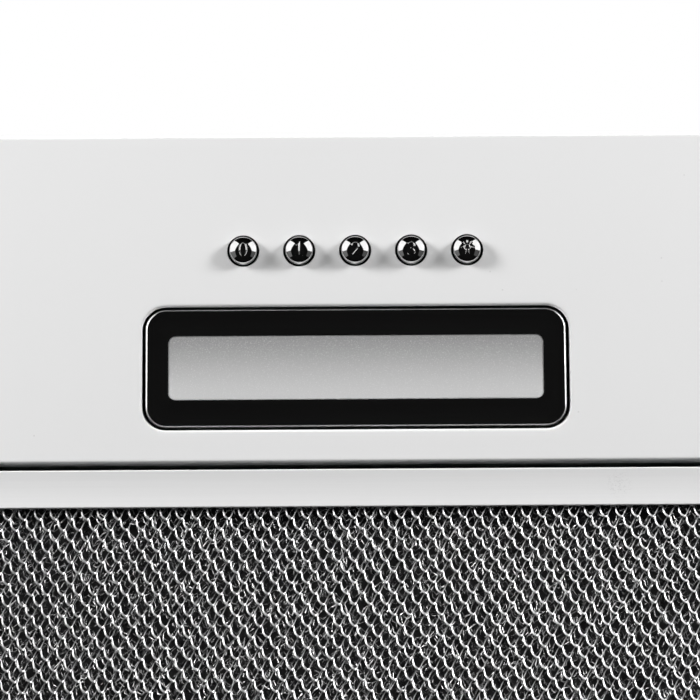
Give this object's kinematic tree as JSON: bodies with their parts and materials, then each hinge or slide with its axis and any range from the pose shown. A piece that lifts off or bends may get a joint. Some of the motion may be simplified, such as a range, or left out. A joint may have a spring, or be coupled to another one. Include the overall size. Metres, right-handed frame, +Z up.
{
  "type": "range hood insert",
  "caption": "Built-in range hood insert: white flanged control strip with chrome push buttons and a lamp, hinged grease filter, blower casing and duct collar with flaps.",
  "frame": {"origin": "centre of the four flange screw holes, on the plane where the flange meets the cabinet's underside", "axes": "+Z up into the cabinet, +X to the user's right along the hood's length, -Y toward the front edge"},
  "size_m": [0.52, 0.292, 0.2566],
  "materials": {
    "white_enamel": "white baked enamel, satin",
    "galvanised": "galvanised sheet",
    "spring_steel": "bright spring steel",
    "screw_steel": "zinc plated",
    "grey_plastic": "moulded, matt",
    "flap_plastic": "moulded, matt",
    "black_plastic": "moulded, matt",
    "wheel_plastic": "moulded, satin",
    "motor_steel": "drawn steel can",
    "shaft_steel": "ground steel",
    "brass_nut": "turned brass",
    "rubber": "black rubber",
    "terminal_plastic": "moulded, matt",
    "gland_plastic": "moulded, matt",
    "capacitor_plastic": "smooth case",
    "driver_plastic": "moulded, matt",
    "switch_plastic": "moulded, matt",
    "button_chrome": "mirror chrome on moulded keys",
    "bezel_steel": "mirror polished steel",
    "frosted_glass": "frosted diffuser",
    "lamp_plastic": "white moulded tray",
    "board_green": "white solder mask",
    "led_yellow": "phosphor",
    "filter_aluminium": "satin rolled sheet",
    "mesh_aluminium": "expanded sheet",
    "foil_aluminium": "crumpled foil layers",
    "ring_steel": "plated wire"
  },
  "bodies": {
    "hood": {"base_panel": "white_enamel", "casing_shell": "galvanised", "top_cover": "galvanised", "cabinet_clips": "spring_steel", "duct_collar": "grey_plastic", "flap_pin": "screw_steel", "collar_screws": "screw_steel", "scroll_wrap": "black_plastic", "scroll_side_left": "black_plastic", "scroll_side_right": "black_plastic", "motor_body": "motor_steel", "motor_spider": "galvanised", "motor_mounts": "rubber", "terminal_box": "terminal_plastic", "terminal_lid": "terminal_plastic", "cable_gland": "gland_plastic", "capacitor": "capacitor_plastic", "capacitor_clip": "galvanised", "lamp_driver": "driver_plastic", "control_cover": "galvanised", "switch_body": "switch_plastic", "switch_bracket": "galvanised", "lamp_bezel": "bezel_steel", "lamp_diffuser": "frosted_glass", "lamp_housing": "lamp_plastic", "led_board": "board_green", "led_chips": "led_yellow", "lamp_clips": "spring_steel", "filter_catches": "spring_steel"},
    "filter": {"filter_frame": "filter_aluminium", "filter_mesh": "mesh_aluminium", "filter_back": "mesh_aluminium", "filter_core": "foil_aluminium", "filter_tabs": "filter_aluminium", "ring_saddles": "filter_aluminium"},
    "wheel": {"fan_wheel": "wheel_plastic", "motor_shaft": "shaft_steel", "wheel_nut": "brass_nut"},
    "ring_left": {"ring_left": "ring_steel"},
    "ring_right": {"ring_right": "ring_steel"},
    "flap_left": {"flap_left": "flap_plastic"},
    "flap_right": {"flap_right": "flap_plastic"},
    "button_off": {"button_off": "button_chrome"},
    "button_low": {"button_low": "button_chrome"},
    "button_medium": {"button_medium": "button_chrome"},
    "button_high": {"button_high": "button_chrome"},
    "button_light": {"button_light": "button_chrome"}
  },
  "joints": [
    {"name": "filter_swing", "type": "hinge", "parent": "hood", "child": "filter", "pos_m": [0, 0.1188, -0.0017], "axis": [1, 0, 0], "range_deg": [0, 70], "deforming": ["filter_catches"]},
    {"name": "ring_left_swing", "type": "hinge", "parent": "filter", "child": "ring_left", "pos_m": [-0.165, -0.02385, -0.0046], "axis": [1, 0, 0], "range_deg": [-80, 80]},
    {"name": "ring_right_swing", "type": "hinge", "parent": "filter", "child": "ring_right", "pos_m": [0.165, -0.02385, -0.0046], "axis": [1, 0, 0], "range_deg": [-80, 80]},
    {"name": "wheel_spin", "type": "hinge", "parent": "hood", "child": "wheel", "pos_m": [0, -0.012, 0.107], "axis": [1, 0, 0], "continuous": true},
    {"name": "flap_left_swing", "type": "hinge", "parent": "hood", "child": "flap_left", "pos_m": [0, 0.036, 0.2055], "axis": [0, 1, 0], "range_deg": [0, 75]},
    {"name": "flap_right_swing", "type": "hinge", "parent": "hood", "child": "flap_right", "pos_m": [0, 0.036, 0.2055], "axis": [0, -1, 0], "range_deg": [0, 75]},
    {"name": "button_off_press", "type": "slide", "parent": "hood", "child": "button_off", "axis": [0, 0, 1], "range_m": [0, 0.0025], "stiffness_N_per_m": 400, "springref_m": -0.0005},
    {"name": "button_low_press", "type": "slide", "parent": "hood", "child": "button_low", "axis": [0, 0, 1], "range_m": [0, 0.0025], "stiffness_N_per_m": 400, "springref_m": -0.0005},
    {"name": "button_medium_press", "type": "slide", "parent": "hood", "child": "button_medium", "axis": [0, 0, 1], "range_m": [0, 0.0025], "stiffness_N_per_m": 400, "springref_m": -0.0005},
    {"name": "button_high_press", "type": "slide", "parent": "hood", "child": "button_high", "axis": [0, 0, 1], "range_m": [0, 0.0025], "stiffness_N_per_m": 400, "springref_m": -0.0005},
    {"name": "button_light_press", "type": "slide", "parent": "hood", "child": "button_light", "axis": [0, 0, 1], "range_m": [0, 0.0025], "stiffness_N_per_m": 400, "springref_m": -0.0005}
  ]
}
